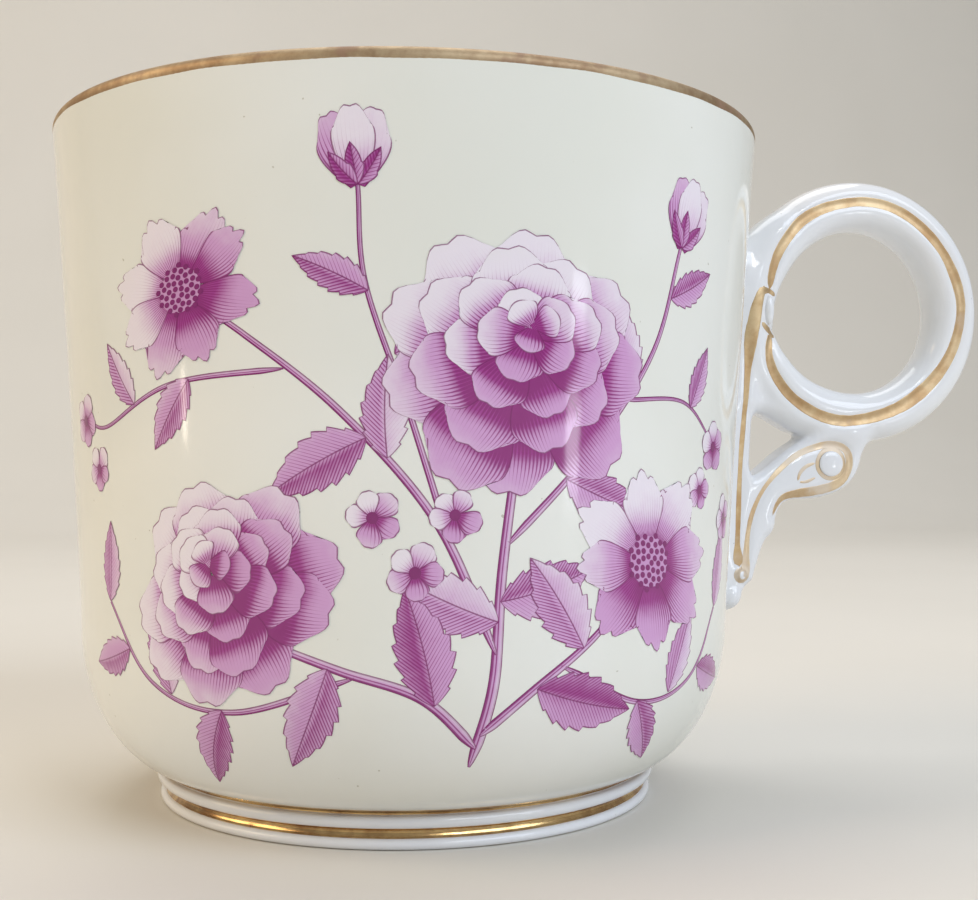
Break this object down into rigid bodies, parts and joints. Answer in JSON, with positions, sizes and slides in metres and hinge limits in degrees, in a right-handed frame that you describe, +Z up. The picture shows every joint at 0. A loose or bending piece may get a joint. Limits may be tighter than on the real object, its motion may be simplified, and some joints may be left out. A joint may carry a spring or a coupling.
{
  "type": "espresso cup",
  "caption": "Small straight-sided porcelain cup on a moulded foot ring, with a ring handle tied to a strap, a scroll under the ring, gilt lines and a floral print.",
  "frame": {"origin": "on the table, at the middle of the box round the cup and its handle", "axes": "+X along the handle, away from the bowl; +Z up, along the bowl's axis"},
  "size_m": [0.0914, 0.0644, 0.06],
  "materials": {
    "ivory_glaze": "clear gloss glaze over ivory porcelain with a purple floral print",
    "white_glaze": "clear gloss glaze over white porcelain",
    "gilding": "thin fired gold, burnished and lightly worn"
  },
  "bodies": {
    "root": {"bowl": "ivory_glaze", "foot_ring": "white_glaze", "handle_strap": "white_glaze", "handle_ring": "white_glaze", "handle_gusset": "white_glaze", "handle_scroll": "white_glaze", "tie_bead_front": "white_glaze", "tie_bead_back": "white_glaze", "roundel_front": "white_glaze", "roundel_back": "white_glaze", "rim_gilding": "gilding", "foot_line_gilding": "gilding", "foot_band_gilding": "gilding", "ring_gilding_front": "gilding", "ring_gilding_back": "gilding", "strap_gilding_front": "gilding", "strap_gilding_back": "gilding", "scroll_gilding_front": "gilding", "scroll_gilding_back": "gilding"}
  },
  "joints": []
}
